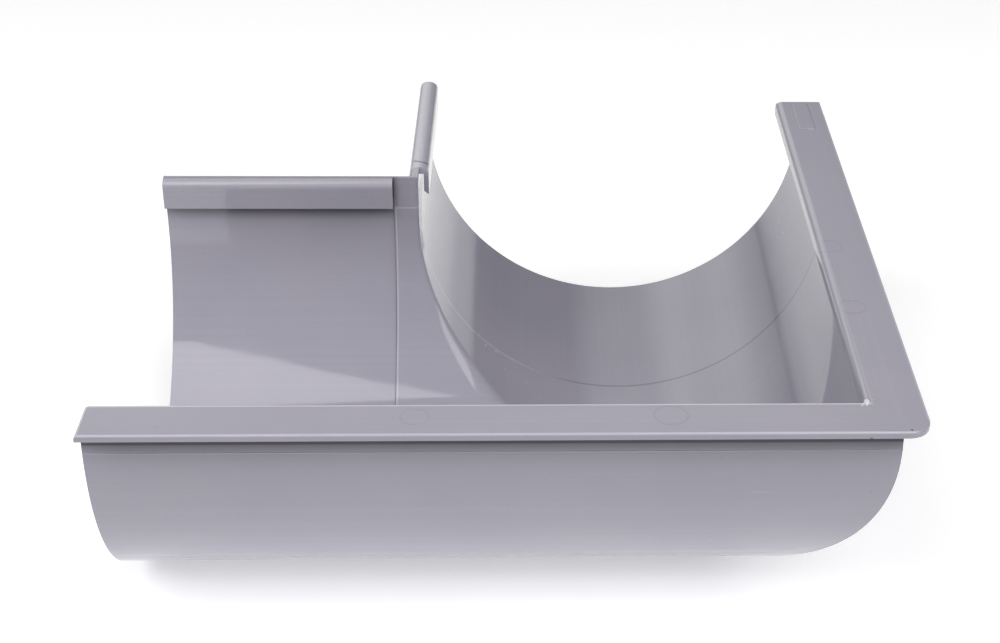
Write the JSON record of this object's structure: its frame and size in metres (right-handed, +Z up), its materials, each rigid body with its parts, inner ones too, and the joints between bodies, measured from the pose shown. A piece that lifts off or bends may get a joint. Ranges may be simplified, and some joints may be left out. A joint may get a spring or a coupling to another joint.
{
  "type": "gutter corner",
  "caption": "Grey plastic outside corner for a half round roof gutter, with a flat flange round its outer walls and hooks along its inner walls.",
  "frame": {"origin": "centre of the bounding box in plan, on the level of the trough's lowest line, which is where the corner stands", "axes": "+Z up out of the trough, arm A runs to its open end along -X, arm B runs to its open end along +Y, and the outer corner points to +X and -Y"},
  "size_m": [0.208, 0.208, 0.0795],
  "materials": {
    "grey_plastic": "semi gloss, as moulded"
  },
  "bodies": {
    "root": {"gutter_corner": "grey_plastic"}
  },
  "joints": []
}
